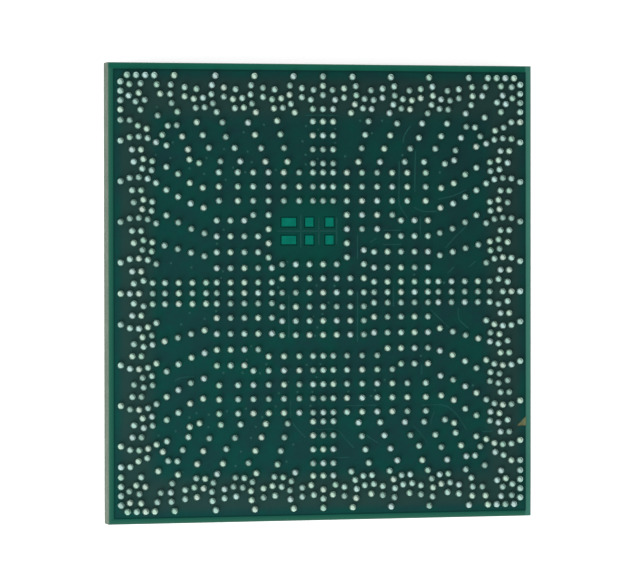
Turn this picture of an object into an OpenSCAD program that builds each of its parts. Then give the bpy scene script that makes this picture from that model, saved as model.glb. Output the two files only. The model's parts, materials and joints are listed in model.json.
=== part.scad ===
// Flip-chip ball grid array package, ball side up.
// It rests on the back of its die at z = 0. X runs across the width and Y along the length.

/* [Substrate] */
// Width of the package, along X
body_w = 24; // [20:0.5:30]
// Length of the package, along Y
body_l = 25; // [20:0.5:30]
// Thickness of the glass-fibre core
core_t = 0.8; // [0.4:0.05:1.2]
// Thickness of the build-up film on each side of the core
film_t = 0.1; // [0.06:0.01:0.2]
// Thickness of each outer copper layer
copper_t = 0.015; // [0.01:0.001:0.02]
// Thickness of the solder mask over the copper
mask_t = 0.025; // [0.015:0.001:0.04]
// Bare border without copper at the left, right and front edges
bare_border = 0.3; // [0.2:0.01:0.4]
// Diameter of a plated hole through the core
via_d = 0.25; // [0.15:0.01:0.35]

/* [Ball side] */
// Distance from the left and right edges to the outermost balls
margin_w = 0.67; // [0.55:0.01:0.8]
// Distance from the front and back edges to the outermost balls
margin_l = 0.69; // [0.55:0.01:0.8]
// Diameter of a solder ball
ball_d = 0.38; // [0.3:0.01:0.46]
// Diameter of the flat foot that a ball stands on
foot_d = 0.28; // [0.2:0.01:0.29]
// Diameter of the copper land under a ball
land_d = 0.36; // [0.33:0.01:0.44]
// Side of the gold orientation mark
mark_side = 0.5; // [0.3:0.05:0.6]

/* [Die] */
// Width of the die
die_w = 8.6; // [5:0.1:11]
// Length of the die
die_l = 7.4; // [5:0.1:11]
// Thickness of the die
die_t = 0.78; // [0.6:0.01:0.95]
// Height of the gap that the bumps bridge
bump_gap = 0.07; // [0.05:0.005:0.1]
// Diameter of a solder bump under the die
bump_d = 0.12; // [0.08:0.01:0.16]
// Distance between neighbouring bumps
bump_pitch = 0.5; // [0.4:0.05:0.8]
// Reach of the underfill beyond the die, and up its sides
fillet = 0.5; // [0.3:0.05:0.65]

/* [Capacitors] */
// Length of a capacitor, over its terminals
cap_l = 1; // [0.6:0.05:1.25]
// Width of a capacitor
cap_w = 0.5; // [0.3:0.05:0.65]
// Height of a capacitor
cap_h = 0.5; // [0.3:0.05:0.6]
// Length of a capacitor terminal
cap_band = 0.25; // [0.15:0.01:0.3]

/* [Hidden] */
round_fn = 32;

// Gaps and small clearances
etch_gap = 0.02;      // round a land, in the copper
mask_gap = 0.012;     // round what stands in a mask opening
moat = 0.07;          // round a coated land
back_border = 0.34;   // bare border at the back edge
coat_recess = 0.005;  // top of a coated land below the mask
overcut = 1;          // how far a cutting shape runs past what it cuts

// Heights, from the back of the die upwards
die_face = die_t + bump_gap;           // outer face of the mask on the die side
film_low = die_face + mask_t;
core_low = film_low + film_t;
core_high = core_low + core_t;
film_high = core_high + film_t;        // inner face of the mask on the ball side
ball_face = film_high + mask_t;        // outer face of that mask
land_low = film_high - copper_t;       // bed of the copper in the ball-side film
pad_high = film_low + copper_t;        // bed of the copper in the die-side film

// The ball pattern is drawn in millimetres for this field, then stretched to the body
half_w = 11.36;
half_l = 11.83;
side_step = half_l - half_w;
stretch = [(body_w / 2 - margin_w) / half_w, (body_l / 2 - margin_l) / half_l];

// Steps of the pattern
close_pitch = 0.505;  // along the corners and at the ends of the arms
grid_pitch = 0.775;
arm_pitch = 0.765;
ladder = [0, 0.575, for (k = [0 : 4]) 1.36 + 0.865 * k, 5.885];
arm_steps = [for (k = [0 : 3]) arm_pitch * k, 2.98];
arm_start = 7.08;
row_start = 3.48;
column_start = 2.91;
cluster_start = 1.2;
cluster_pitch = 2.2;
cluster_lean = 0.1;

function mirror_x(points) = [for (s = [-1, 1], p = points) [s * p.x, p.y]];
function mirror_y(points) = [for (s = [-1, 1], p = points) [p.x, s * p.y]];
function flip_x(points) = [for (p = points) [-p.x, p.y]];
function flip_y(points) = [for (p = points) [p.x, -p.y]];
function fitted(points) = [for (p = points) [p.x * stretch.x, p.y * stretch.y]];
// What runs along the back edge, turned to run along the right edge
function turned(points, along = 0) = [for (p = points) [p.y - side_step, p.x + along]];

// Corner: a close run along both edges, a few balls on the diagonal, and those that lead into the fans
corner_run = [for (k = [0 : 3]) [9.49 + close_pitch * k, half_l], [10.25, 11.38]];
corner_diagonal = [[10.87, 11.34], [10.35, 10.87], [10.02, 10.49]];
corner_inner = [
  [9.35, 11.33], [9.16, 10.83], [10.53, 10.4], [10.25, 9.96], [half_w, 9.4], [10.85, 9.4], [10.4, 9.1],
  [9.91, 8.93], [9.3, 9.65], [8.74, 9.1], [8.23, 9.13], [9.04, 8.6], [8.81, 8.03]
];
corner_balls_at = mirror_x(mirror_y(concat(
  corner_run, turned(corner_run, side_step), corner_diagonal, corner_inner
)));

// Edge cluster: [along the edge, inward]; the last three make way for the arm in the first cluster
cluster = [
  [0.48, 0], [0.67, 0.505], [0.7, 1.005], [0.62, 1.5],
  [0.4, 1.97], [0, 0.635], [0, 1.135], [-0.66, 0.725], [-0.51, 1.26],
  [-0.62, 1.755], [-1.03, 1.2], [-1.12, 1.72]
];
function cluster_run(lean) = [
  for (k = [0 : 3], i = [0 : (k == 0 ? 8 : 11)])
    [cluster_start + cluster_pitch * k + cluster[i].x + (k == 3 && i < 4 ? lean : 0), half_l - cluster[i].y]
];
back_edge_at = mirror_x(cluster_run(cluster_lean));
right_edge_at = mirror_y(turned(cluster_run(0)));

// Fans: lines that lead from the grids out to the edge clusters
shared_fan = [
  [2.02, 7.17], [2.21, 7.92], [2.41, 8.66], [2.6, 9.4],
  [3.26, 7.17], [3.5, 7.9], [3.85, 8.63], [4.24, 9.29]
];
back_fan = [
  [4.68, 7.18], [5, 7.91], [5.49, 8.51], [5.68, 9.3],
  [5.79, 7.18], [6.44, 7.91], [6.78, 8.6], [7.12, 9.3],
  [6.99, 7.08], [7.53, 7.27], [7.61, 7.82], [7.93, 8.52]
];
side_fan = [
  [6.74, 4.65], [7.47, 4.88], [8.17, 5.25], [8.82, 5.62],
  [6.78, 5.74], [7.51, 6], [8.17, 6.49], [8.82, 6.87]
];
back_fan_at = mirror_x(concat(shared_fan, back_fan));
right_fan_at = mirror_y(concat(turned(shared_fan), side_fan));

// Arms: three lines through the middle, with a single line at each end
function arm(x, start) = [for (s = arm_steps) [x, start + s]];
arm_end = [for (k = [0 : 2]) [0, half_l - close_pitch * k]];
half_arm = concat(mirror_x(arm(ladder[1], arm_start)), arm(0, arm_start), arm_end);
length_arm_at = mirror_y(half_arm);
width_arm_at = mirror_x(turned(half_arm));

// Clearing in the grids for the coated lands, and the two columns that are carried on beside it
clearing = [[-3, 2], [1, 4.7]];
crowded = 0.45;
carried_rows = [row_start - grid_pitch, row_start - 2 * grid_pitch];
carried_at = [for (y = carried_rows) each [[ladder[2], y], [-ladder[4], y]]];
function in_clearing(p) =
  p.x > clearing[0].x && p.x < clearing[1].x && p.y > clearing[0].y && p.y < clearing[1].y;
function has_room(p) = min([for (c = carried_at) norm(p - c)]) > crowded;
function thinned(points) = [for (p = points) if (!in_clearing(p) && has_room(p)) p];

// Grids. Their columns or rows follow the ladder, with the corner towards the middle left out
function row_y(r) = row_start + grid_pitch * r;
function column_x(c) = column_start + grid_pitch * c;
half_rows = [for (r = [0 : 4], i = [1 : (r < 2 ? 4 + r : 7)]) [ladder[i], row_y(r)]];
middle_rows = [for (r = [0 : 4]) [0, row_y(r)]];
front_grid_at = flip_y(concat(mirror_x(half_rows), middle_rows));
back_grid_at = concat(thinned(flip_y(front_grid_at)), carried_at);
half_columns = [for (i = [1 : 5], c = [max(0, i - 3) : 4]) [column_x(c), ladder[i]]];
right_grid_at = concat(mirror_y(half_columns), [for (c = [0 : 4]) [column_x(c), 0]]);
left_grid_at = thinned(flip_x(right_grid_at));
centre_grid_at = thinned([for (i = [-3 : 3], j = [-3 : 3]) [grid_pitch * i, grid_pitch * j]]);

all_balls_at = concat(
  corner_balls_at, back_edge_at, flip_y(back_edge_at), right_edge_at, flip_x(right_edge_at),
  back_fan_at, flip_y(back_fan_at), right_fan_at, flip_x(right_fan_at), length_arm_at, width_arm_at,
  back_grid_at, front_grid_at, left_grid_at, right_grid_at, centre_grid_at
);
all_balls = fitted(all_balls_at);

// Ball: a sphere that stands on its foot and passes through the mask opening
foot_rise = sqrt(pow(ball_d / 2, 2) - pow(foot_d / 2, 2));
neck_r = sqrt(pow(ball_d / 2, 2) - pow(foot_rise - mask_t, 2));
opening_d = 2 * (neck_r + mask_gap);

// Copper on the ball side stops short of the edges, furthest at the back
copper_at = [-body_w / 2 + bare_border, -body_l / 2 + bare_border];
copper_size = [body_w - 2 * bare_border, body_l - bare_border - back_border];

// Coated lands: three pairs, one wide and two narrow, as [middle, size]
coated_pitch = 0.98;
coated_middle = 3.37;
coated_wide = [0.82, 0.46];
coated_narrow = [0.46, 0.49];
coated_columns = [[-1.91, coated_wide], [-0.75, coated_narrow], [0.4, coated_narrow]];
coated_lands_at = [
  for (column = coated_columns, s = [-1, 1]) [[column[0], coated_middle + s * coated_pitch / 2], column[1]]
];
// Slits that part the copper between the coated lands, as [middle, size]
slit = 0.05;
coated_slits = [
  [[-1.22, coated_middle], [slit, 1.9]],
  [[-0.9, coated_middle], [3.4, slit]],
  [[-0.2, coated_middle], [slit, 1.6]]
];
// Slits that part one copper plane from the next, midway between lines of balls
function midway(line) = (ladder[line] + ladder[line + 1]) / 2;
plane_slits = [
  [[midway(5), 6], [slit, 2.2]],
  [[column_x(1) + grid_pitch / 2, -0.25], [slit, 1.2]],
  [[grid_pitch * 2.5, -1.4], [slit, 2.6]],
  [[grid_pitch * -2.5, -1.3], [slit, 2.2]],
  [[midway(3) - grid_pitch / 2, -row_y(3.5)], [1.8, slit]],
  [[0, arm_start + arm_pitch * 3.45], [1.8, slit]]
];
slits_at = concat(coated_slits, plane_slits);

// Orientation mark: a right triangle near the right edge
mark_inset = 0.27;
mark_y = -7.47;
mark_t = mask_t / 2;
mark_at = [body_w / 2 - mark_inset, mark_y * stretch.y];

// Plated holes through the core, in an even grid
via_n = 12;
via_margin = 3.4;     // from the edges to the outermost holes
function via_place(length, i) = (length / 2 - via_margin) * (2 * i / (via_n - 1) - 1);
vias_at = [for (i = [0 : via_n - 1], j = [0 : via_n - 1]) [via_place(body_w, i), via_place(body_l, j)]];

// Bumps under the die, in as many rows as fit
bump_inset = 0.3;
bump_nx = floor((die_w - 2 * bump_inset) / bump_pitch);
bump_ny = floor((die_l - 2 * bump_inset) / bump_pitch);
bumps_at = [
  for (i = [0 : bump_nx], j = [0 : bump_ny]) bump_pitch * [i - bump_nx / 2, j - bump_ny / 2]
];
pad_lap = 0.02;       // copper pad beyond its bump, all round
pad_d = bump_d + 2 * pad_lap;
fillet_lip = 0.04;    // thickness of the underfill at the ends of its fillet

// Capacitors on the die side, as [x, y, turn], in line with the sides of the die
cap_clear = 1.2;
cap_step = 2.2;
cap_side_x = die_w / 2 + fillet + cap_clear;
cap_end_y = die_l / 2 + fillet + cap_clear;
capacitors_at = concat(
  [for (s = [-1, 1], k = [-1.5 : 1.5]) [s * cap_side_x, cap_step * k, 90]],
  [for (s = [-1, 1], k = [-0.5 : 0.5]) [2 * cap_step * k, s * cap_end_y, 0]]
);
cap_plating = 0.02;     // thickness of a terminal over the ceramic
cap_seat = 0.02;        // solder between a terminal and the face of the mask
solder_reach = 0.2;     // length of the solder beyond the terminal
solder_climb = 0.3;     // height of the solder up the end of the terminal
cap_lap = 0.02;         // land wider, and solder narrower, than the capacitor on each side
cap_solder_w = cap_w - 2 * cap_lap;
cap_land = [cap_band + solder_reach + 2 * cap_lap, cap_w + 2 * cap_lap];
cap_ceramic = [cap_l, cap_w, cap_h] - 2 * cap_plating * [1, 1, 1];
cap_top = die_face - cap_seat;

module at_each(points) {
  for (p = points) {
    translate([p.x, p.y, 0]) children();
  }
}

module block(low, size, z, h) {
  translate([low.x, low.y, z]) cube([size.x, size.y, h]);
}

module body_block(z, h) {
  block([-body_w / 2, -body_l / 2], [body_w, body_l], z, h);
}

module via_rods(z, h) {
  translate([0, 0, z]) at_each(vias_at) cylinder(d = via_d, h = h, $fn = round_fn);
}

module at_capacitors() {
  for (c = capacitors_at) {
    translate([c.x, c.y, 0]) rotate([0, 0, c[2]]) children();
  }
}

module both_ends() {
  children();
  mirror([1, 0, 0]) children();
}

module core() {
  color("#8a8a6a") difference() {
    body_block(core_low, core_t);
    via_rods(core_low - overcut, core_t + 2 * overcut);
  }
}

module core_vias() {
  color("#b87333") via_rods(pad_high, land_low - pad_high);
}

module ball_side_film() {
  color("#5f6b4f") difference() {
    body_block(core_high, film_t);
    block(copper_at, copper_size, land_low, copper_t + overcut);
    via_rods(core_high - overcut, film_t + 2 * overcut);
  }
}

module die_side_film() {
  color("#5f6b4f") difference() {
    body_block(film_low, film_t);
    block(copper_at, copper_size, film_low - overcut, copper_t + overcut);
    via_rods(film_low - overcut, film_t + 2 * overcut);
  }
}

// A copper sheet over the whole field, less the shapes that are etched away
module copper_sheet() {
  linear_extrude(copper_t) difference() {
    translate(copper_at) square(copper_size);
    children();
  }
}

module coated_shapes(grow) {
  for (land = coated_lands_at) {
    translate([land[0].x * stretch.x, land[0].y * stretch.y])
      square(land[1] + 2 * [grow, grow], center = true);
  }
}

module slit_shapes() {
  for (s = slits_at) {
    translate([s[0].x * stretch.x, s[0].y * stretch.y]) square(s[1], center = true);
  }
}

module ball_side_copper() {
  color("#b87333") translate([0, 0, land_low]) copper_sheet() {
    at_each(all_balls) circle(d = land_d + 2 * etch_gap, $fn = round_fn);
    coated_shapes(moat);
    slit_shapes();
  }
}

module ball_lands() {
  color("#c98a4b") translate([0, 0, land_low])
    at_each(all_balls) cylinder(d = land_d, h = copper_t, $fn = round_fn);
}

module coated_lands() {
  color("#07745f") translate([0, 0, land_low])
    linear_extrude(copper_t + mask_t - coat_recess) coated_shapes(0);
}

// A right triangle; grow moves all three sides outwards
module mark_shape(grow) {
  side = mark_side + grow * (2 + sqrt(2));
  translate(mark_at + [grow, -grow]) polygon([[0, 0], [0, side], [-side, 0]]);
}

module orientation_mark() {
  color("#a8975e") translate([0, 0, film_high]) linear_extrude(mark_t) mark_shape(0);
}

module ball_side_mask() {
  color("#1b433a") translate([0, 0, film_high]) linear_extrude(mask_t) difference() {
    square([body_w, body_l], center = true);
    at_each(all_balls) circle(d = opening_d, $fn = round_fn);
    coated_shapes(moat);
    mark_shape(mask_gap);
  }
}

module ball() {
  rotate_extrude($fn = round_fn) intersection() {
    translate([0, foot_rise]) circle(d = ball_d, $fn = round_fn);
    square([ball_d, 2 * ball_d]);
  }
}

module balls(points) {
  color("#c4cfca") translate([0, 0, film_high]) at_each(fitted(points)) ball();
}

module die_side_copper() {
  color("#b87333") translate([0, 0, film_low]) copper_sheet() {
    at_each(bumps_at) circle(d = pad_d + 2 * etch_gap, $fn = round_fn);
    at_capacitors() both_ends() cap_land_shape(2 * etch_gap);
  }
}

module bump_pads() {
  color("#c98a4b") translate([0, 0, film_low])
    at_each(bumps_at) cylinder(d = pad_d, h = copper_t, $fn = round_fn);
}

module cap_land_shape(grow) {
  translate([cap_l / 2 - cap_band - cap_lap - grow, -cap_land.y / 2 - grow])
    square(cap_land + 2 * [grow, grow]);
}

module capacitor_lands() {
  color("#c98a4b") translate([0, 0, film_low])
    linear_extrude(copper_t) at_capacitors() both_ends() cap_land_shape(0);
}

module die_side_mask() {
  color("#1b433a") translate([0, 0, die_face]) linear_extrude(mask_t) difference() {
    square([body_w, body_l], center = true);
    at_each(bumps_at) circle(d = bump_d, $fn = round_fn);
    at_capacitors() both_ends() cap_land_shape(-mask_gap);
  }
}

module solder_bumps() {
  color("#c4cfca") translate([0, 0, die_t])
    at_each(bumps_at) cylinder(d = bump_d, h = film_low - die_t, $fn = round_fn);
}

module die() {
  color("#3c3f45") block([-die_w / 2, -die_l / 2], [die_w, die_l], 0, die_t);
}

// Section of the underfill outside the die: hollow, with a lip against the mask and the die
module fillet_section() {
  reach = fillet + fillet_lip;
  difference() {
    translate([0, -reach]) square([reach, reach]);
    translate([reach, -reach]) circle(r = fillet, $fn = round_fn);
  }
}

module fillet_side(length) {
  rotate([90, 0, 0]) linear_extrude(length, center = true) fillet_section();
}

module underfill() {
  color("#2a2c30") difference() {
    union() {
      block([-die_w / 2, -die_l / 2], [die_w, die_l], die_t, bump_gap);
      for (s = [-1, 1]) {
        translate([s * die_w / 2, 0, die_face]) rotate([0, 0, 90 - 90 * s]) fillet_side(die_l);
        translate([0, s * die_l / 2, die_face]) rotate([0, 0, 90 * s]) fillet_side(die_w);
      }
      for (turn = [0 : 3]) {
        corner = [[1, 1], [-1, 1], [-1, -1], [1, -1]][turn];
        translate([corner.x * die_w / 2, corner.y * die_l / 2, die_face])
          rotate([0, 0, 90 * turn]) rotate_extrude(angle = 90, $fn = round_fn) fillet_section();
      }
    }
    translate([0, 0, die_t - overcut])
      at_each(bumps_at) cylinder(d = bump_d, h = bump_gap + 2 * overcut, $fn = round_fn);
  }
}

module capacitor_bodies() {
  color("#8c6f52") translate([0, 0, cap_top - cap_h / 2]) at_capacitors() cube(cap_ceramic, center = true);
}

module capacitor_terminals() {
  color("#c9ccce") translate([0, 0, cap_top - cap_h / 2]) at_capacitors() both_ends() difference() {
    translate([cap_l / 2 - cap_band, -cap_w / 2, -cap_h / 2]) cube([cap_band, cap_w, cap_h]);
    cube(cap_ceramic, center = true);
  }
}

// Solder joint: a pad under the terminal, and a fillet that climbs its end
module capacitor_solder() {
  color("#d3d8d6") at_capacitors() both_ends()
    translate([cap_l / 2, 0, 0]) rotate([90, 0, 0]) linear_extrude(cap_solder_w, center = true) {
      difference() {
        polygon([
          [-cap_band, cap_top], [-cap_band, film_low], [solder_reach, film_low],
          [solder_reach, cap_top], [0, cap_top - solder_climb]
        ]);
        translate([-overcut, cap_top - overcut]) square([overcut, overcut]);
      }
    }
}

core();
core_vias();
ball_side_film();
die_side_film();
ball_side_copper();
ball_lands();
coated_lands();
orientation_mark();
ball_side_mask();
balls(corner_balls_at);  // corner_balls
balls(back_edge_at);  // back_edge_balls
balls(flip_y(back_edge_at));  // front_edge_balls
balls(flip_x(right_edge_at));  // left_edge_balls
balls(right_edge_at);  // right_edge_balls
balls(back_fan_at);  // back_fan_balls
balls(flip_y(back_fan_at));  // front_fan_balls
balls(flip_x(right_fan_at));  // left_fan_balls
balls(right_fan_at);  // right_fan_balls
balls(length_arm_at);  // length_arm_balls
balls(width_arm_at);  // width_arm_balls
balls(back_grid_at);  // back_grid_balls
balls(front_grid_at);  // front_grid_balls
balls(left_grid_at);  // left_grid_balls
balls(right_grid_at);  // right_grid_balls
balls(centre_grid_at);  // centre_grid_balls
die_side_copper();
bump_pads();
capacitor_lands();
die_side_mask();
solder_bumps();
underfill();
die();
capacitor_bodies();
capacitor_terminals();
capacitor_solder();
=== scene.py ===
import json
import math
import random

import bmesh
import bpy
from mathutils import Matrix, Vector, noise
from mathutils.kdtree import KDTree


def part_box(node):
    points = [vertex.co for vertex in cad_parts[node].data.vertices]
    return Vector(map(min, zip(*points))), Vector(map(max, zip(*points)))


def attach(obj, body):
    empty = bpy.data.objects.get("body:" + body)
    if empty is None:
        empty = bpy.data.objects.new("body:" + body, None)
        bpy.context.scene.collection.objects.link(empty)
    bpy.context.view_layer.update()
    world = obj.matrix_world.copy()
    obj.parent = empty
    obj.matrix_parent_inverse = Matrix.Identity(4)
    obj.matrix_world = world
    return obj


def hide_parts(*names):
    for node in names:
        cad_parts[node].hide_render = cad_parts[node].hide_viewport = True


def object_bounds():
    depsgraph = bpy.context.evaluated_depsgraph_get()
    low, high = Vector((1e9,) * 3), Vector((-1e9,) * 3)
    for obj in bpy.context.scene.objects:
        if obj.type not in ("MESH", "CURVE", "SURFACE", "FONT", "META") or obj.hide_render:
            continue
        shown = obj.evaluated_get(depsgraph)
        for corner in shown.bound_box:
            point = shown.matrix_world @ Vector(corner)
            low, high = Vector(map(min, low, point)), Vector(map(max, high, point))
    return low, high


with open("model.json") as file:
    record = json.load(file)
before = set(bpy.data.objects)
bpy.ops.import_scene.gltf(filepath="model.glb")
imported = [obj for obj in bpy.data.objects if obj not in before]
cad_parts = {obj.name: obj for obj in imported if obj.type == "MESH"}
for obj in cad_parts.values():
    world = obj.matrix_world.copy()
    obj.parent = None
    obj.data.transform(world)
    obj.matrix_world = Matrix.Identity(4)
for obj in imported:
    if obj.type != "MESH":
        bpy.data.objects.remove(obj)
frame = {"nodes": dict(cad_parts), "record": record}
nodes = frame["nodes"]
cadLow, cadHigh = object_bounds()
mm = 0.001
print("frame loaded:", len(nodes), "nodes")

scene = bpy.context.scene
scene.view_settings.view_transform = "Standard"



def srgb(red, green, blue):
    def toLinear(part):
        part = part / 255
        return part / 12.92 if part <= 0.04045 else ((part + 0.055) / 1.055) ** 2.4
    return (toLinear(red), toLinear(green), toLinear(blue), 1.0)


# adds a node; a socket among the inputs is linked, anything else becomes the value
def put(tree, kind, x, y, inputs=None, **settings):
    node = tree.nodes.new("ShaderNode" + kind)
    node.location = (x, y)
    for name, value in settings.items():
        setattr(node, name, value)
    for key, value in (inputs or {}).items():
        if isinstance(value, bpy.types.NodeSocket):
            tree.links.new(value, node.inputs[key])
        else:
            node.inputs[key].default_value = value
    return node


def maths(tree, operation, x, y, first, second=0.0, clamp=False):
    node = put(tree, "Math", x, y, {0: first, 1: second}, operation=operation, use_clamp=clamp)
    return node.outputs[0]


def mixed(tree, x, y, factor, first, second, blend="MIX"):
    node = put(tree, "Mix", x, y, {0: factor}, data_type="RGBA", blend_type=blend)
    for place, value in ((6, first), (7, second)):
        if isinstance(value, bpy.types.NodeSocket):
            tree.links.new(value, node.inputs[place])
        else:
            node.inputs[place].default_value = value
    return node.outputs[2]


def ranged(tree, x, y, value, fromLow, fromHigh, toLow=0.0, toHigh=1.0, smooth=False):
    node = put(tree, "MapRange", x, y, {
        "Value": value, "From Min": fromLow, "From Max": fromHigh, "To Min": toLow, "To Max": toHigh,
    }, interpolation_type="SMOOTHSTEP" if smooth else "LINEAR")
    return node.outputs["Result"]


def newGroup(name, inputs, outputs):
    tree = bpy.data.node_groups.new(name, "ShaderNodeTree")
    for label, kind, start in inputs:
        socket = tree.interface.new_socket(label, in_out="INPUT", socket_type="NodeSocket" + kind)
        if start is not None:
            socket.default_value = start
    for label, kind in outputs:
        tree.interface.new_socket(label, in_out="OUTPUT", socket_type="NodeSocket" + kind)
    entry = tree.nodes.new("NodeGroupInput")
    entry.location = (-900, 0)
    leave = tree.nodes.new("NodeGroupOutput")
    leave.location = (700, 0)
    return tree, entry.outputs, leave.inputs


def useGroup(tree, group, x, y, **inputs):
    node = put(tree, "Group", x, y, node_tree=group)
    for key, value in inputs.items():
        if isinstance(value, bpy.types.NodeSocket):
            tree.links.new(value, node.inputs[key])
        else:
            node.inputs[key].default_value = value
    return node.outputs



def makeCloudyTint():
    tree, given, out = newGroup("cloudyTint", [
        ("Place", "Vector", None), ("Size", "Float", 1.0), ("Contrast", "Float", 0.5),
        ("Light", "Color", srgb(200, 200, 200)), ("Dark", "Color", srgb(100, 100, 100)),
    ], [("Color", "Color"), ("Mask", "Float")])
    density = maths(tree, "DIVIDE", -720, 120, 1.0, given["Size"])
    broad = put(tree, "TexNoise", -540, 160, {"Vector": given["Place"], "Scale": density, "Detail": 3.0, "Roughness": 0.55})
    finer = maths(tree, "MULTIPLY", -540, -120, density, 7.0)
    fine = put(tree, "TexNoise", -360, -80, {"Vector": given["Place"], "Scale": finer, "Detail": 2.0})
    both = maths(tree, "ADD", -180, 60, broad.outputs["Fac"], maths(tree, "MULTIPLY", -180, -120, fine.outputs["Fac"], 0.4))
    centred = maths(tree, "SUBTRACT", 0, 60, both, 0.7)
    steep = maths(tree, "MULTIPLY", 0, -120, given["Contrast"], 4.0)
    scaled = maths(tree, "MULTIPLY", 180, 60, centred, steep)
    lifted = maths(tree, "ADD", 300, 60, scaled, 0.5, clamp=True)
    tree.links.new(mixed(tree, 420, 80, lifted, given["Dark"], given["Light"]), out["Color"])
    tree.links.new(lifted, out["Mask"])
    return tree


def makeFineGrain():
    tree, given, out = newGroup("fineGrain", [
        ("Place", "Vector", None), ("Size", "Float", 0.1), ("Stretch", "Vector", (1, 1, 1)),
    ], [("Height", "Float"), ("Mask", "Float")])
    stretched = put(tree, "VectorMath", -700, 60, {0: given["Place"], 1: given["Stretch"]}, operation="MULTIPLY")
    density = maths(tree, "DIVIDE", -700, -120, 1.0, given["Size"])
    grain = put(tree, "TexNoise", -480, 60, {
        "Vector": stretched.outputs[0], "Scale": density, "Detail": 4.0, "Roughness": 0.6,
    })
    tree.links.new(grain.outputs["Fac"], out["Height"])
    tree.links.new(ranged(tree, -240, -80, grain.outputs["Fac"], 0.3, 0.7), out["Mask"])
    return tree


# how far a spot lies in from the outline of the package, and the bare band that follows it
def makeRimBand():
    tree, given, out = newGroup("rimBand", [
        ("Place", "Vector", None), ("HalfWidth", "Float", 12.0), ("HalfLength", "Float", 12.5),
        ("Margin", "Float", 0.3), ("BackPart", "Float", 1.0), ("Soft", "Float", 0.03),
    ], [("Band", "Float"), ("Line", "Float"), ("Distance", "Float")])
    apart = put(tree, "SeparateXYZ", -720, 0, {0: given["Place"]})
    sideways = maths(tree, "SUBTRACT", -540, 200, given["HalfWidth"], maths(tree, "ABSOLUTE", -700, 200, apart.outputs[0]))
    toFront = maths(tree, "ADD", -540, 40, given["HalfLength"], apart.outputs[1])
    toBack = maths(tree, "SUBTRACT", -540, -120, given["HalfLength"], apart.outputs[1])
    toBackEdge = maths(tree, "MULTIPLY", -380, -120, toBack, given["BackPart"])
    nearest = maths(tree, "MINIMUM", -220, 60, maths(tree, "MINIMUM", -380, 120, sideways, toFront), toBackEdge)
    inner = maths(tree, "ADD", -220, -120, given["Margin"], given["Soft"])
    outer = maths(tree, "SUBTRACT", -220, -260, given["Margin"], given["Soft"])
    band = ranged(tree, 0, 120, nearest, outer, inner, 1.0, 0.0, smooth=True)
    lineEnd = maths(tree, "ADD", -60, -260, inner, 0.11)
    past = ranged(tree, 120, -180, nearest, inner, lineEnd, 1.0, 0.0, smooth=True)
    line = maths(tree, "MULTIPLY", 320, -60, past, maths(tree, "SUBTRACT", 200, 40, 1.0, band))
    tree.links.new(band, out["Band"])
    tree.links.new(line, out["Line"])
    tree.links.new(nearest, out["Distance"])
    return tree


# fine upright lines that a saw leaves on cut side faces
def makeSawMarks():
    tree, given, out = newGroup("sawMarks", [
        ("Place", "Vector", None), ("Size", "Float", 0.03),
    ], [("Height", "Float"), ("Mask", "Float")])
    apart = put(tree, "SeparateXYZ", -720, 0, {0: given["Place"]})
    along = maths(tree, "ADD", -560, 60, apart.outputs[0], apart.outputs[1])
    flat = maths(tree, "MULTIPLY", -560, -120, apart.outputs[2], 0.15)
    joined = put(tree, "CombineXYZ", -400, 0, {0: along, 2: flat})
    density = maths(tree, "DIVIDE", -560, -260, 1.0, given["Size"])
    streaks = put(tree, "TexNoise", -220, 0, {"Vector": joined.outputs[0], "Scale": density, "Detail": 3.0})
    tree.links.new(streaks.outputs["Fac"], out["Height"])
    tree.links.new(ranged(tree, 40, -60, streaks.outputs["Fac"], 0.35, 0.65), out["Mask"])
    return tree


cloudyTint = makeCloudyTint()
fineGrain = makeFineGrain()
rimBand = makeRimBand()
sawMarks = makeSawMarks()



def newFinish(name, metallic=0.0, specular=0.5):
    material = bpy.data.materials.new(name)
    material.use_nodes = True
    tree = material.node_tree
    shader = tree.nodes["Principled BSDF"]
    shader.inputs["Metallic"].default_value = metallic
    shader.inputs["Specular IOR Level"].default_value = specular
    coords = put(tree, "TexCoord", -1400, 0)
    place = put(tree, "VectorMath", -1200, 0, {0: coords.outputs["Object"], 1: (1000, 1000, 1000)}, operation="MULTIPLY")
    return material, tree, shader, place.outputs[0]


def setRoughness(tree, shader, mask, look):
    low, high = look["roughness"]
    tree.links.new(ranged(tree, -200, -200, mask, 0.0, 1.0, low, high), shader.inputs["Roughness"])


def setBump(tree, shader, height, depth, strength=1.0):
    bump = put(tree, "Bump", -200, -420, {"Height": height, "Distance": depth * mm, "Strength": strength})
    tree.links.new(bump.outputs["Normal"], shader.inputs["Normal"])


# a finish of two cloudy shades with a fine grain
def grainyFinish(name, look):
    material, tree, shader, place = newFinish(name, look.get("metallic", 0.0), look.get("specular", 0.5))
    tint = useGroup(
        tree, cloudyTint, -700, 200, Place=place, Size=look["cloud"], Contrast=look.get("contrast", 0.5),
        Light=look["light"], Dark=look["dark"]
    )
    grain = useGroup(tree, fineGrain, -700, -200, Place=place, Size=look["grain"], Stretch=look.get("stretch", (1, 1, 1)))
    tree.links.new(tint["Color"], shader.inputs["Base Color"])
    setRoughness(tree, shader, grain["Mask"], look)
    setBump(tree, shader, grain["Height"], look["depth"])
    return material


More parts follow.
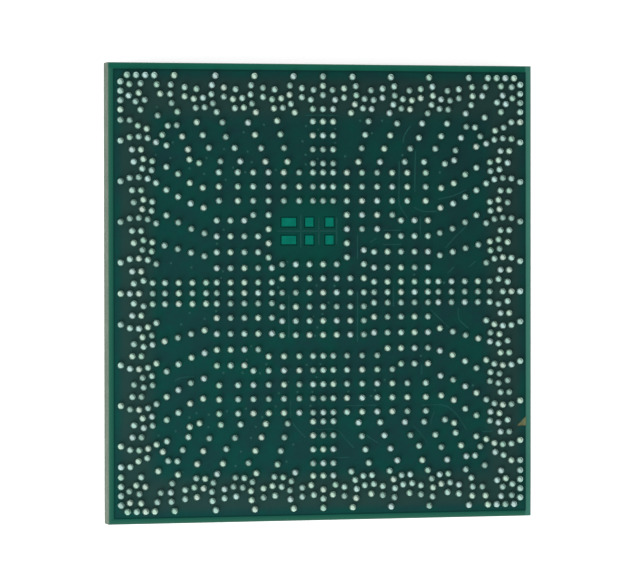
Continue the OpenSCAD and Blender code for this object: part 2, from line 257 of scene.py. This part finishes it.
# a cut laminate: two shades, with upright saw marks
def sawnFinish(name, look):
    material, tree, shader, place = newFinish(name, 0.0, look.get("specular", 0.3))
    tint = useGroup(
        tree, cloudyTint, -900, 300, Place=place, Size=look["cloud"], Contrast=0.5, Light=look["light"], Dark=look["dark"]
    )
    saw = useGroup(tree, sawMarks, -900, -200, Place=place, Size=look["saw"])
    streaked = mixed(tree, -500, 200, maths(tree, "MULTIPLY", -700, 0, saw["Mask"], look["sawShade"]), tint["Color"], look["dark"])
    if "yarn" in look:
        apart = put(tree, "SeparateXYZ", -1000, 600, {0: place})
        along = maths(tree, "ADD", -840, 620, apart.outputs[0], apart.outputs[1])
        flat = put(tree, "CombineXYZ", -680, 600, {0: along, 1: apart.outputs[2]})
        yarns = put(tree, "TexBrick", -500, 600, {
            "Vector": flat.outputs[0], "Scale": 1.0, "Mortar Size": look["yarnGap"], "Mortar Smooth": 1.0,
            "Brick Width": look["yarn"][0], "Row Height": look["yarn"][1],
        }, offset=0.5)
        streaked = mixed(tree, -250, 300, maths(tree, "MULTIPLY", -320, 500, yarns.outputs["Fac"], 0.75), streaked, look["resin"])
    tree.links.new(streaked, shader.inputs["Base Color"])
    setRoughness(tree, shader, saw["Mask"], look)
    setBump(tree, shader, saw["Height"], look["depth"])
    return material


maskLook = {
    "field": srgb(7, 70, 63),           # over the copper
    "fieldDark": srgb(19, 60, 60),
    "crowded": srgb(37, 65, 62),        # painted shading from the crowded balls, among the edge clusters
    "ballShadeAmount": 0.8,
    "clearing": srgb(0, 74, 62),        # round the coated lands
    "paintedLightCorner": (-0.6, -0.8, 0.0),       # painted light: the mask is brighter towards this corner, the lamp's side
    "pale": (0.77, 1.01),
    "bareOuter": srgb(48, 102, 84),     # the bare border, at the cut edge
    "bareInner": srgb(20, 84, 70),
    "bareBack": srgb(8, 90, 73),        # the same along the back edge
    "bareRight": srgb(66, 124, 110),    # and along the right edge
    "line": srgb(2, 50, 45),            # where the copper begins
    "rim": srgb(112, 140, 126),         # painted highlight where the cut edge glints
    "specular": 0.06,
    "roughness": (0.38, 0.55),
    "bare": 0.29,
    "bareAtBack": 0.34,
}


def makeMaskFinish(name, look, lowCorner, highCorner):
    material, tree, shader, place = newFinish(name, 0.0, look["specular"])
    halfWidth = (highCorner.x - lowCorner.x) / 2 / mm
    halfLength = (highCorner.y - lowCorner.y) / 2 / mm
    rim = useGroup(
        tree, rimBand, -900, 300, Place=place, HalfWidth=halfWidth, HalfLength=halfLength,
        Margin=look["bare"], BackPart=look["bare"] / look["bareAtBack"], Soft=0.02
    )
    tint = useGroup(tree, cloudyTint, -900, 0, Place=place, Size=1.3, Contrast=0.7, Light=look["field"], Dark=look["fieldDark"])
    grain = useGroup(tree, fineGrain, -900, -260, Place=place, Size=0.09)
    # painted shade: a greyer tint in the band of crowded balls near the edges
    started = ranged(tree, -820, 560, rim["Distance"], 0.45, 0.95, 0.0, look["ballShadeAmount"], smooth=True)
    ended = ranged(tree, -820, 460, rim["Distance"], 1.9, 2.9, 1.0, 0.0, smooth=True)
    ballShadeAmount = maths(tree, "MULTIPLY", -640, 460, started, ended)
    low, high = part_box("coated_lands")
    middle = (low + high) / 2 / mm
    inClearing = put(tree, "VectorMath", -1100, 760, {0: place, 1: tuple(middle)}, operation="DISTANCE").outputs["Value"]
    cleared = ranged(tree, -900, 760, inClearing, 1.6, 2.6, 0.6, 0.0, smooth=True)
    tinted = mixed(tree, -560, 240, cleared, tint["Color"], look["clearing"])
    mottledAndShaded = mixed(tree, -420, 120, ballShadeAmount, tinted, look["crowded"])
    # painted light: the mask's brightness rises towards the lamp's corner
    along = put(tree, "VectorMath", -820, -480, {0: place, 1: look["paintedLightCorner"]}, operation="DOT_PRODUCT").outputs["Value"]
    paintedLightLevel = ranged(tree, -640, -480, along, -12.0, 12.0, *look["pale"])
    field = put(tree, "HueSaturation", -330, -60, {"Value": paintedLightLevel, "Color": mottledAndShaded}).outputs["Color"]
    fade = ranged(tree, -640, 640, rim["Distance"], 0.0, look["bare"])
    bare = mixed(tree, -520, 420, fade, look["bareOuter"], look["bareInner"])
    apart = put(tree, "SeparateXYZ", -1100, 600, {0: place})
    for axis, half, shade in ((1, halfLength, look["bareBack"]), (0, halfWidth, look["bareRight"])):
        thatSide = ranged(tree, -640, 700 + 160 * axis, apart.outputs[axis], half - look["bareAtBack"], half - look["bare"], 0.0, 0.75)
        bare = mixed(tree, -420, 420 + 160 * axis, thatSide, bare, shade)
    lined = mixed(tree, -240, 160, rim["Line"], field, look["line"])
    covered = mixed(tree, -60, 200, rim["Band"], lined, bare)
    # painted highlight: the outermost strip of the mask is lightened where the cut edge glints
    edgeGlint = ranged(tree, -240, 620, rim["Distance"], 0.01, 0.045, 0.6, 0.0)
    whole = mixed(tree, 120, 220, edgeGlint, covered, look["rim"])
    tree.links.new(whole, shader.inputs["Base Color"])
    setRoughness(tree, shader, grain["Mask"], look)
    setBump(tree, shader, grain["Height"], 0.002)
    return material


maskFinish = makeMaskFinish("solderMask", maskLook, *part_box("ball_side_mask"))

ballLook = {
    # the ball colours differ at random; their green cast is painted reflection of the green board
    "shades": [
        srgb(194, 233, 222), srgb(176, 213, 204), srgb(203, 236, 218), srgb(178, 220, 202), srgb(196, 225, 222),
        srgb(160, 197, 186), srgb(201, 236, 232), srgb(206, 231, 217), srgb(186, 224, 213), srgb(190, 228, 216),
    ],
    "tarnish": srgb(120, 156, 146),
    "metallic": 0.8,      # its thin skin of oxide is matt
    "roughness": (0.2, 0.36),
}


def makeBallFinish(name, look):
    material, tree, shader, place = newFinish(name, look["metallic"])
    whichBall = put(tree, "NewGeometry", -1000, 400).outputs["Random Per Island"]
    shades = put(tree, "ValToRGB", -760, 400, {0: whichBall})
    ramp = shades.color_ramp
    ramp.interpolation = "CONSTANT"
    while len(ramp.elements) < len(look["shades"]):
        ramp.elements.new(0.5)
    for place01, element in enumerate(ramp.elements):
        element.position = place01 / len(look["shades"])
        element.color = look["shades"][place01]
    tint = useGroup(tree, cloudyTint, -900, 60, Place=place, Size=0.16, Contrast=0.5)
    grain = useGroup(tree, fineGrain, -900, -260, Place=place, Size=0.035)
    shade = mixed(tree, -400, 200, maths(tree, "MULTIPLY", -560, 60, tint["Mask"], 0.22), shades.outputs["Color"], look["tarnish"])
    tree.links.new(shade, shader.inputs["Base Color"])
    setRoughness(tree, shader, grain["Mask"], look)
    setBump(tree, shader, grain["Height"], 0.0018)
    return material


ballFinish = makeBallFinish("ballSolder", ballLook)

finishes = {
    "core_laminate": sawnFinish("coreLaminate", {
        "light": srgb(118, 132, 116), "dark": srgb(84, 102, 88), "resin": srgb(68, 86, 74), "cloud": 0.9,
        "saw": 0.035, "sawShade": 0.45, "yarn": (0.42, 0.09), "yarnGap": 0.018, "roughness": (0.6, 0.8), "depth": 0.004,
    }),
    "buildup_film": sawnFinish("buildupFilm", {
        "light": srgb(96, 104, 82), "dark": srgb(66, 74, 58), "cloud": 0.7, "saw": 0.03, "sawShade": 0.4,
        "roughness": (0.5, 0.7), "depth": 0.002,
    }),
    "via_copper": grainyFinish("viaCopper", {
        "light": srgb(206, 138, 92), "dark": srgb(150, 88, 54), "cloud": 0.3, "grain": 0.04, "metallic": 1.0,
        "roughness": (0.3, 0.5), "depth": 0.001,
    }),
    "plane_copper": grainyFinish("planeCopper", {
        "light": srgb(196, 128, 84), "dark": srgb(140, 80, 50), "cloud": 0.8, "grain": 0.02, "metallic": 1.0,
        "roughness": (0.35, 0.55), "depth": 0.001,
    }),
    "land_copper": grainyFinish("landCopper", {
        "light": srgb(214, 150, 104), "dark": srgb(166, 104, 66), "cloud": 0.25, "grain": 0.02, "metallic": 1.0,
        "roughness": (0.3, 0.45), "depth": 0.001,
    }),
    "coated_land": grainyFinish("coatedLand", {
        "light": srgb(0, 120, 100), "dark": srgb(0, 104, 88), "cloud": 0.35, "grain": 0.05, "specular": 0.05,
        "roughness": (0.35, 0.5), "depth": 0.0015,
    }),
    "mark_gold": grainyFinish("markGold", {
        "light": srgb(128, 136, 100), "dark": srgb(98, 106, 74), "cloud": 0.2, "grain": 0.03, "metallic": 1.0,
        "roughness": (0.3, 0.45), "depth": 0.001,
    }),
    "solder_mask": maskFinish,
    "ball_solder": ballFinish,
    "bump_solder": grainyFinish("bumpSolder", {
        "light": srgb(196, 200, 198), "dark": srgb(150, 154, 154), "cloud": 0.1, "grain": 0.02, "metallic": 1.0,
        "roughness": (0.3, 0.5), "depth": 0.001,
    }),
    "joint_solder": grainyFinish("jointSolder", {
        "light": srgb(208, 212, 210), "dark": srgb(150, 156, 156), "cloud": 0.18, "grain": 0.03, "metallic": 1.0,
        "roughness": (0.22, 0.42), "depth": 0.002,
    }),
    "silicon": grainyFinish("silicon", {
        "light": srgb(74, 80, 88), "dark": srgb(52, 56, 64), "cloud": 2.2, "grain": 0.25, "stretch": (0.04, 1, 1),
        "metallic": 0.6, "roughness": (0.12, 0.3), "depth": 0.0006,
    }),
    "underfill_resin": grainyFinish("underfillResin", {
        "light": srgb(58, 50, 42), "dark": srgb(30, 26, 24), "cloud": 0.5, "grain": 0.04, "specular": 0.45,
        "roughness": (0.18, 0.34), "depth": 0.002,
    }),
    "capacitor_ceramic": grainyFinish("capacitorCeramic", {
        "light": srgb(168, 132, 98), "dark": srgb(132, 98, 70), "cloud": 0.3, "grain": 0.02, "specular": 0.4,
        "roughness": (0.4, 0.6), "depth": 0.002,
    }),
    "capacitor_metal": grainyFinish("capacitorMetal", {
        "light": srgb(204, 204, 200), "dark": srgb(160, 160, 158), "cloud": 0.15, "grain": 0.02, "metallic": 1.0,
        "roughness": (0.28, 0.48), "depth": 0.003,
    }),
}

slotOfNode = {part["node"]: part["material_slot"] for part in frame["record"]["subparts"]}
for name, item in nodes.items():
    finish = finishes[slotOfNode[name]]
    if not item.material_slots:
        item.data.materials.append(finish)
    for slot in item.material_slots:
        slot.material = finish
print("finishes made:", len(finishes))



def newPiece(name, verts, faces, slotName, finish=None, smooth=True):
    mesh = bpy.data.meshes.new(name)
    mesh.from_pydata(verts, [], faces)
    mesh.validate()
    mesh.materials.append(finish or finishes[slotName])
    mesh.polygons.foreach_set("use_smooth", [smooth] * len(mesh.polygons))
    piece = bpy.data.objects.new(name, mesh)
    scene.collection.objects.link(piece)
    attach(piece, "root")
    return piece


# the low and high corner of every separate solid in a node, in reading order
def solidBoxes(name):
    joined = bmesh.new()
    joined.from_mesh(nodes[name].data)
    bmesh.ops.remove_doubles(joined, verts=joined.verts, dist=0.0001 * mm)
    seen = set()
    boxes = []
    for start in joined.verts:
        if start in seen:
            continue
        seen.add(start)
        waiting = [start]
        low = start.co.copy()
        high = start.co.copy()
        while waiting:
            vert = waiting.pop()
            for axis in range(3):
                low[axis] = min(low[axis], vert.co[axis])
                high[axis] = max(high[axis], vert.co[axis])
            for edge in vert.link_edges:
                other = edge.other_vert(vert)
                if other not in seen:
                    seen.add(other)
                    waiting.append(other)
        boxes.append((low, high))
    joined.free()
    return sorted(boxes, key=lambda box: (round(box[0].y / mm, 2), round(box[0].x / mm, 2)))



ballShape = {
    "nodes": [
        "corner_balls", "back_edge_balls", "front_edge_balls", "left_edge_balls", "right_edge_balls",
        "back_fan_balls", "front_fan_balls", "left_fan_balls", "right_fan_balls",
        "length_arm_balls", "width_arm_balls",
        "back_grid_balls", "front_grid_balls", "left_grid_balls", "right_grid_balls", "centre_grid_balls",
    ],
    "radius": 0.19 * mm,
    "foot": 0.14 * mm,
    "around": 24,
    "rings": 10,
    "uneven": 0.02,        # how much the surface may sink, as a part of the radius
    "flatShare": 0.3,      # share of balls with a small flat where a test pin has pressed
    "flatDepth": (0.02, 0.07),
}


def ballVerts(centre, low, high, chance, look):
    radius = look["radius"]
    middle = high - radius
    squash = 1 - chance.random() * look["uneven"] * 0.5
    seed = Vector((chance.random(), chance.random(), chance.random())) * 100
    flatWay = Vector((chance.gauss(0, 0.25), chance.gauss(0, 0.25), 1)).normalized()
    flatAt = 1.0
    if chance.random() < look["flatShare"]:
        flatAt = 1 - chance.uniform(*look["flatDepth"])
    footAngle = math.asin(look["foot"] / radius)
    verts = []
    for ring in range(look["rings"] + 1):
        angle = footAngle + (math.pi - footAngle) * ring / look["rings"]
        turns = 1 if ring == look["rings"] else look["around"]
        for step in range(turns):
            turn = 2 * math.pi * step / look["around"]
            way = Vector((math.sin(angle) * math.cos(turn), math.sin(angle) * math.sin(turn), -math.cos(angle)))
            if ring:
                way *= 1 - look["uneven"] * (0.5 + 0.5 * noise.noise(way * 1.4 + seed))
                over = way.dot(flatWay) - flatAt
                if over > 0:
                    way -= flatWay * over
                way.x *= squash
            verts.append((centre.x + way.x * radius, centre.y + way.y * radius, max(low, middle + way.z * radius)))
    return verts


def ballFaces(start, look):
    around = look["around"]
    faces = [tuple(start + step for step in reversed(range(around)))]
    for ring in range(look["rings"] - 1):
        base = start + ring * around
        for step in range(around):
            beside = (step + 1) % around
            faces.append((base + step, base + beside, base + around + beside, base + around + step))
    last = start + (look["rings"] - 1) * around
    top = start + look["rings"] * around
    for step in range(around):
        faces.append((last + step, last + (step + 1) % around, top))
    return faces


def makeBalls(look):
    centres = []
    for order, node in enumerate(look["nodes"]):
        chance = random.Random(40 + order)
        verts, faces = [], []
        for low, high in solidBoxes(node):
            centre = (low + high) / 2
            centres.append(centre)
            faces += ballFaces(len(verts), look)
            verts += ballVerts(centre, low.z, high.z, chance, look)
        piece = newPiece(node + "_reflowed", verts, faces, "ball_solder")
        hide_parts(node)
    return centres


ballCentres = makeBalls(ballShape)
print("balls made:", len(ballCentres))

nearBall = KDTree(len(ballCentres))
for index, centre in enumerate(ballCentres):
    nearBall.insert((centre.x, centre.y, 0), index)
nearBall.balance()


def clearOfBalls(x, y, room):
    return nearBall.find((x, y, 0))[2] > room



splitLook = {
    "width": 0.075 * mm,
    "rise": 0.002 * mm,
    "room": 0.23 * mm,     # kept free round the middle of a ball
    "step": 0.06 * mm,
    "lines": [
        [(4.38, 7.2), (4.38, 6), (4.38, 4.92), (4.58, 4.49), (4.86, 4.07)],
        [(5.33, 7.8), (5.29, 6.7), (5.29, 5.5)],
        [(5.2, 4.71), (5.73, 4.45), (6.53, 4.45)],
        [(5.03, 9.15), (4.69, 8.64), (4.6, 8.18)],
        [(6.61, 5.11), (7.33, 5.26), (7.86, 5.45), (8.26, 5.64)],
        [(7.06, 2.41), (7.46, 2.88), (7.86, 3.26), (8.26, 3.6)],
        [(5.59, 4.16), (5.59, 3.18)],
        [(2, 3.14), (2, 1.79)],
        [(2.68, 2.72), (3.08, 2.97)],
        [(3.43, 3.4), (4.49, 3.4)],
        [(3.43, 2.62), (4.49, 2.62)],
        [(8.39, 1.35), (8.79, 1.69)],
        [(7.14, 1.01), (7.54, 1.35)],
        [(1.34, -6.22), (3.12, -6.22)],
        [(5.66, -6.27), (6.91, -6.27), (7.56, -6.66), (7.97, -7.2), (8.3, -7.69)],
        [(-0.45, -7.53), (0.74, -7.53), (1.24, -7.99), (1.79, -8.57)],
        [(0.6, -9.07), (1.51, -9.07)],
        [(6.4, -6.64), (6.24, -7), (6.18, -7.35)],
        [(5.19, -7.38), (5.61, -7.83), (6.02, -8.37)],
        [(2.29, -7.74), (2.75, -8.05), (3.21, -8.32)],
        [(6.17, -0.97), (6.68, -1.46), (7.24, -1.99)],
        [(7.78, -0.89), (7.81, -1.46), (8.07, -1.78), (8.42, -2.06)],
        [(4.05, 0.37), (4.05, -0.82)],
        [(1.99, 0.03), (1.99, -2.75)],
        [(5.68, -4.02), (5.68, -4.59)],
        [(9.14, -7.76), (9.79, -7.76)],
        [(-1.91, -0.13), (-1.91, -2.49)],
        [(-1.83, -5.92), (-1.79, -6.89), (-1.47, -7.42), (-0.97, -7.95)],
        [(-8.35, -4.79), (-7.95, -4.58), (-7.23, -4.54)],
        [(-1.02, 9.7), (0.9, 9.7)],
        [(-1.22, 4.3), (-1.22, 2.43)],
        [(-2.6, 3.37), (0.8, 3.37)],
        [(-0.2, 4.1), (-0.2, 2.6)],
        [(0.82, 4.1), (0.82, 2.6)],
    ],
}


# a smooth run of points through the given ones, spaced by about one step
def smoothRun(points, step):
    ends = [points[0]] + points + [points[-1]]
    run = []
    for i in range(1, len(ends) - 2):
        a, b, c, d = ends[i - 1:i + 3]
        count = max(2, int((c - b).length / step))
        for k in range(count):
            t = k / count
            run.append(0.5 * (2 * b + (c - a) * t + (2 * a - 5 * b + 4 * c - d) * t * t + (3 * b - a - 3 * c + d) * t ** 3))
    return run + [points[-1]]


# a low flat-topped strip along a run of points on the mask
def addStrip(verts, faces, run, width, rise, floorZ):
    start = len(verts)
    for i, spot in enumerate(run):
        ahead = run[min(i + 1, len(run) - 1)] - run[max(i - 1, 0)]
        side = Vector((-ahead.y, ahead.x)).normalized() * width / 2
        narrow = 0.35 if i in (0, len(run) - 1) else 1.0
        for across, up in ((-1, -0.3), (-0.6, 1), (0.6, 1), (1, -0.3)):
            verts.append((spot.x + side.x * across * narrow, spot.y + side.y * across * narrow, floorZ + rise * up))
    for i in range(len(run) - 1):
        a = start + 4 * i
        for k in range(4):
            m = (k + 1) % 4
            faces.append((a + k, a + m, a + 4 + m, a + 4 + k))
    faces.append((start, start + 3, start + 2, start + 1)[::-1])
    end = start + 4 * (len(run) - 1)
    faces.append((end, end + 3, end + 2, end + 1))


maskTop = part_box("ball_side_mask")[1].z
splitFinish = grainyFinish("maskOverSplit", {
    "light": srgb(28, 80, 76), "dark": srgb(18, 70, 66), "cloud": 0.7, "grain": 0.09, "specular": 0.1,
    "roughness": (0.38, 0.55), "depth": 0.001,
})


def makeSplits(look):
    verts, faces = [], []
    for line in look["lines"]:
        points = [Vector(p) * mm for p in line]
        run = []
        for spot in smoothRun(points, look["step"]) + [None]:
            if spot is not None and clearOfBalls(spot.x, spot.y, look["room"]):
                run.append(spot)
                continue
            if len(run) > 3:
                addStrip(verts, faces, run, look["width"], look["rise"], maskTop)
            run = []
    return newPiece("plane_split_lines", verts, faces, "solder_mask", splitFinish)


makeSplits(splitLook)

moatLook = {
    "width": 0.07 * mm,
    "sag": 0.012 * mm,     # how far the mask sinks into the moat round a coated land
}
# painted shade: the mask in each moat is darker than the field, partly for the film beneath it
moatShadeFinish = grainyFinish("maskInMoatShaded", {
    "light": srgb(0, 60, 52), "dark": srgb(0, 50, 44), "cloud": 0.4, "grain": 0.05, "specular": 0.04,
    "roughness": (0.35, 0.5), "depth": 0.001,
})


# the hollow of mask round each coated land, coloured dark partly for the film beneath and partly as painted shade
def makeMoats(look):
    verts, faces = [], []
    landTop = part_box("coated_lands")[1].z
    for low, high in solidBoxes("coated_lands"):
        start = len(verts)
        for part, z in ((0.0, landTop), (0.25, landTop - look["sag"]), (0.75, landTop - look["sag"]), (0.96, maskTop)):
            out = look["width"] * part
            verts += [
                (low.x - out, low.y - out, z), (high.x + out, low.y - out, z),
                (high.x + out, high.y + out, z), (low.x - out, high.y + out, z),
            ]
        for ring in range(3):
            base = start + 4 * ring
            for k in range(4):
                m = (k + 1) % 4
                faces.append((base + k, base + 4 + k, base + 4 + m, base + m))
    return newPiece("coated_land_moats", verts, faces, "solder_mask", moatShadeFinish, smooth=False)


makeMoats(moatLook)

viaLook = {
    "radius": 0.075 * mm,
    "rise": 0.003 * mm,
    "room": 0.24 * mm,
    "places": [
        (-3.31, 9.17), (-4.44, 8.76), (-8.41, 8.18), (-5.54, 7.83), (-4.23, 7.71), (-0.93, 9.11), (-1.12, 8.27),
        (-0.95, 7.54), (-0.95, 7.01), (-9.37, 7.48), (-8.54, 7.34), (-6.53, 7.35), (-3.99, 7.13), (-7.48, 6.78),
        (-5.05, 6.83), (-4.36, 6.58), (-2.63, 6.71), (-6.66, 6.48), (-5.45, 6.16), (-5.57, 3.45), (-5.94, 2.69),
        (-1.99, 1.69), (-8.52, 1.64), (-7.38, 1.4), (-5.62, 1.19), (-5.73, 0.81), (-0.34, 0.38), (-2.51, 0.29),
        (-9.28, 10.1), (-0.28, 7.31), (2.15, 9.42), (3.41, 9.43), (2.82, 8.73), (1.29, 7.47), (4.58, 7.54),
        (6.72, 6.59), (-0.24, 8.91), (0.72, 8.97), (0.72, 8.2), (5.24, 0.95), (6.96, 0.5), (0.68, 0.36),
        (-7.48, -1.07), (-6.64, -1.39), (-7.94, -1.69), (-6, -0.98), (-0.52, -1.32), (-0.43, -2.37),
        (-4.04, -2.91), (-4.29, -3.66), (-3.18, -3.9), (-5.6, -4.34), (-4.52, -4.35), (-3.55, -4.39),
        (-0.9, -3.95), (-0.35, -4.64), (-1.95, -4.89), (-2.48, -5.49), (-1.42, -5.44), (-0.58, -5.45),
        (-2.65, -6.22), (-4.33, -6.31), (-5.4, -6.44), (-7.1, -6.52), (-6.42, -6.61), (-7.5, -6.75),
        (-0.68, -6.2), (-3.42, -6.78), (-6.44, -7.28), (-3.78, -7.31), (-8.27, -7.49), (-9.22, -7.71),
        (-4.05, -7.91), (-1.67, -8.31), (-4.62, -8.65), (-2.05, -9.24), (-4.92, -9.43), (-7.9, -9.72),
        (0.34, -0.56), (0, -1.19), (-0.3, -1.91), (-0.12, -3.93), (0.74, -4.81), (1.47, -5.46), (2.76, -5.71),
        (2.99, -5.4), (8.63, -5.2), (3.54, -4.84), (5.62, -3.53),
    ],
}
viaFinish = grainyFinish("maskOverVia", {
    "light": srgb(40, 88, 82), "dark": srgb(28, 78, 72), "cloud": 0.3, "grain": 0.05, "specular": 0.12,
    "roughness": (0.35, 0.5), "depth": 0.001,
})


# a shallow dome of mask over each filled via
def makeVias(look):
    verts, faces = [], []
    around = 14
    for x, y in look["places"]:
        if not clearOfBalls(x * mm, y * mm, look["room"]):
            continue
        start = len(verts)
        for part, up in ((1, -0.2), (0.75, 0.6), (0.4, 0.95)):
            for step in range(around):
                turn = 2 * math.pi * step / around
                reach = look["radius"] * part
                verts.append((x * mm + reach * math.cos(turn), y * mm + reach * math.sin(turn), maskTop + look["rise"] * up))
        verts.append((x * mm, y * mm, maskTop + look["rise"]))
        faces.append(tuple(start + step for step in reversed(range(around))))
        for ring in range(2):
            for step in range(around):
                beside = (step + 1) % around
                base = start + ring * around
                faces.append((base + step, base + beside, base + around + beside, base + around + step))
        for step in range(around):
            faces.append((start + 2 * around + step, start + 2 * around + (step + 1) % around, start + 3 * around))
    return newPiece("via_domes", verts, faces, "solder_mask", viaFinish)


makeVias(viaLook)
print("mask relief made")



def softened(node, width, segments, slotName):
    mesh = nodes[node].data.copy()
    shape = bmesh.new()
    shape.from_mesh(mesh)
    bmesh.ops.remove_doubles(shape, verts=shape.verts, dist=0.0001 * mm)
    bmesh.ops.dissolve_limit(shape, angle_limit=math.radians(1), verts=shape.verts, edges=shape.edges)
    sharp = [edge for edge in shape.edges if len(edge.link_faces) == 2 and edge.calc_face_angle() > math.radians(40)]
    bmesh.ops.bevel(
        shape, geom=sharp, offset=width, offset_type="OFFSET", segments=segments, profile=0.5,
        affect="EDGES", clamp_overlap=True
    )
    verts = [tuple(vert.co) for vert in shape.verts]
    shape.verts.index_update()
    faces = [tuple(vert.index for vert in face.verts) for face in shape.faces]
    shape.free()
    bpy.data.meshes.remove(mesh)
    piece = newPiece(node + "_eased", verts, faces, slotName, smooth=False)
    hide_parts(node)
    return piece


easedParts = {
    "die": (0.012 * mm, 2),
    "capacitor_bodies": (0.03 * mm, 3),
    "capacitor_terminals": (0.018 * mm, 3),
    "orientation_mark": (0.003 * mm, 2),
    "coated_lands": (0.006 * mm, 2),
}
for node, (width, segments) in easedParts.items():
    softened(node, width, segments, slotOfNode[node])
print("small parts eased")



stageLook = {
    "size": 1.2,
    "pale": srgb(240, 240, 240),
    "ownLight": 0.62,        # camera rays see this much white besides the lit floor
    "brightWay": (-0.62, -0.48, 0.62),   # the tent is bright on this side and dark on the other
    "brightTurn": (-0.12, 0.04),         # where it goes from dark to bright, along that way
    "brightness": (0.02, 0.86),
    "horizon": (0.04, 0.1),              # white below this height, so that the backdrop is white
    "keyPower": 0.16,
    "keySize": 0.12,
    "keyAt": (-0.085, -0.1, 0.075),
}


def seenDirectly(tree, x, y):
    path = put(tree, "LightPath", x, y)
    either = maths(tree, "MAXIMUM", x + 180, y, path.outputs["Is Camera Ray"], path.outputs["Is Glossy Ray"])
    return maths(tree, "MAXIMUM", x + 360, y, either, path.outputs["Is Transmission Ray"])


def makeFloor(look):
    half = look["size"] / 2
    mesh = bpy.data.meshes.new("floor")
    mesh.from_pydata([(-half, -half, 0), (half, -half, 0), (half, half, 0), (-half, half, 0)], [], [(0, 1, 2, 3)])
    floor = bpy.data.objects.new("floor", mesh)
    floor.location.z = cadLow.z
    scene.collection.objects.link(floor)
    material = bpy.data.materials.new("paleFloor")
    material.use_nodes = True
    tree = material.node_tree
    shader = tree.nodes["Principled BSDF"]
    shader.inputs["Base Color"].default_value = look["pale"]
    shader.inputs["Roughness"].default_value = 0.9
    shader.inputs["Specular IOR Level"].default_value = 0.0
    shader.inputs["Emission Color"].default_value = (1, 1, 1, 1)
    strength = maths(tree, "MULTIPLY", -200, -200, seenDirectly(tree, -800, -200), look["ownLight"])
    tree.links.new(strength, shader.inputs["Emission Strength"])
    mesh.materials.append(material)


def makeLight(look):
    world = bpy.data.worlds.new("studio")
    scene.world = world
    world.use_nodes = True
    tree = world.node_tree
    background = tree.nodes["Background"]
    background.inputs["Color"].default_value = (1, 1, 1, 1)
    way = put(tree, "TexCoord", -1000, 0).outputs["Generated"]
    facing = put(tree, "VectorMath", -800, 100, {0: way, 1: look["brightWay"]}, operation="DOT_PRODUCT")
    tent = ranged(tree, -600, 100, facing.outputs["Value"], *look["brightTurn"], *look["brightness"], smooth=True)
    upward = put(tree, "SeparateXYZ", -800, -160, {0: way}).outputs[2]
    aloft = ranged(tree, -600, -160, upward, *look["horizon"], smooth=True)
    strength = put(tree, "Mix", -300, 0, {0: aloft, 2: 1.0, 3: tent})
    tree.links.new(strength.outputs[0], background.inputs["Strength"])
    lamp = bpy.data.lights.new("key", "AREA")
    lamp.energy = look["keyPower"]
    lamp.size = look["keySize"]
    key = bpy.data.objects.new("key", lamp)
    key.location = look["keyAt"]
    key.rotation_euler = (-Vector(look["keyAt"])).to_track_quat("-Z", "Y").to_euler()
    key.visible_camera = False
    key.visible_glossy = False
    scene.collection.objects.link(key)


cameraLook = {
    "place": (-55.846 * mm, 4.002 * mm, 206.548 * mm),
    "turn": (-0.01655, -0.26575, -0.001054),
    "lens": 217.75,
}


def makeCamera(look):
    lens = bpy.data.cameras.new("camera")
    lens.lens = look["lens"]
    lens.sensor_width = 36
    lens.clip_start = 0.005
    camera = bpy.data.objects.new("camera", lens)
    camera.location = look["place"]
    camera.rotation_euler = look["turn"]
    scene.collection.objects.link(camera)
    scene.camera = camera


makeFloor(stageLook)
makeLight(stageLook)
makeCamera(cameraLook)
print("stage ready")
